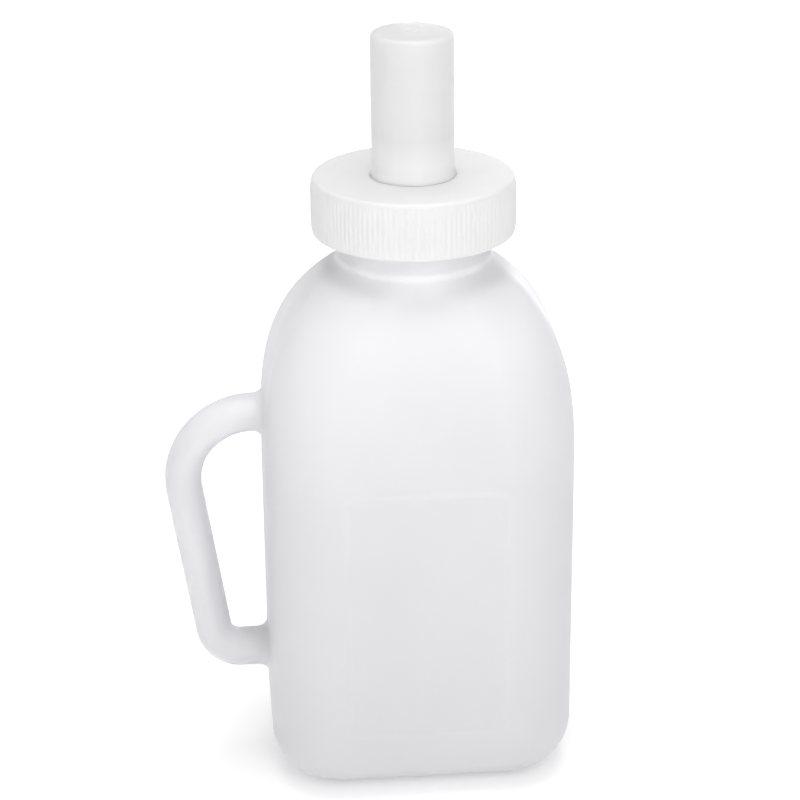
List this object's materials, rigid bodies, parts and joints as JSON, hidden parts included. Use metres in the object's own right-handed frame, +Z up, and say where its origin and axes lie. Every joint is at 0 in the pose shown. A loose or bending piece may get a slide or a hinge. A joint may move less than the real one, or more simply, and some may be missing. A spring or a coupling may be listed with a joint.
{
  "type": "calf feeding bottle",
  "caption": "Hollow bottle with a moulded side handle, a ribbed screw cap, a long soft teat, and a valve that lets milk out through the teat.",
  "frame": {"origin": "on the resting plane, on the axis that the neck, cap and teat share", "axes": "+Z up along the teat, -Y out of the front panel, -X towards the handle"},
  "size_m": [0.1625, 0.096, 0.3061],
  "materials": {
    "bottle_plastic": "translucent natural, soft satin",
    "cap_plastic": "opaque white, satin",
    "teat_silicone": "translucent white silicone, soft sheen",
    "seal_silicone": "white silicone, matte",
    "valve_plastic": "opaque white, satin",
    "ball_plastic": "white, polished"
  },
  "bodies": {
    "bottle": {"bottle": "bottle_plastic"},
    "teat_stack": {"teat": "teat_silicone", "rim_gasket": "seal_silicone", "support_disc": "valve_plastic", "vent_valve": "seal_silicone", "valve_housing": "valve_plastic", "valve_cage": "valve_plastic"},
    "cap": {"screw_cap": "cap_plastic"},
    "ball": {"valve_ball": "ball_plastic"}
  },
  "joints": [
    {"name": "cap_lift", "type": "slide", "parent": "bottle", "child": "teat_stack", "axis": [0, 0, 1], "range_m": [0, 0.015]},
    {"name": "cap_turn", "type": "hinge", "parent": "teat_stack", "child": "cap", "pos_m": [0, 0, 0.24], "axis": [0, 0, 1], "range_deg": [0, 900]},
    {"name": "ball_slide", "type": "slide", "parent": "teat_stack", "child": "ball", "axis": [0, 0, 1], "range_m": [0, 0.0035]}
  ],
  "couplings": [
    {"joint": "cap_lift", "follows": "cap_turn", "m_per_rad": 0.00095493}
  ]
}
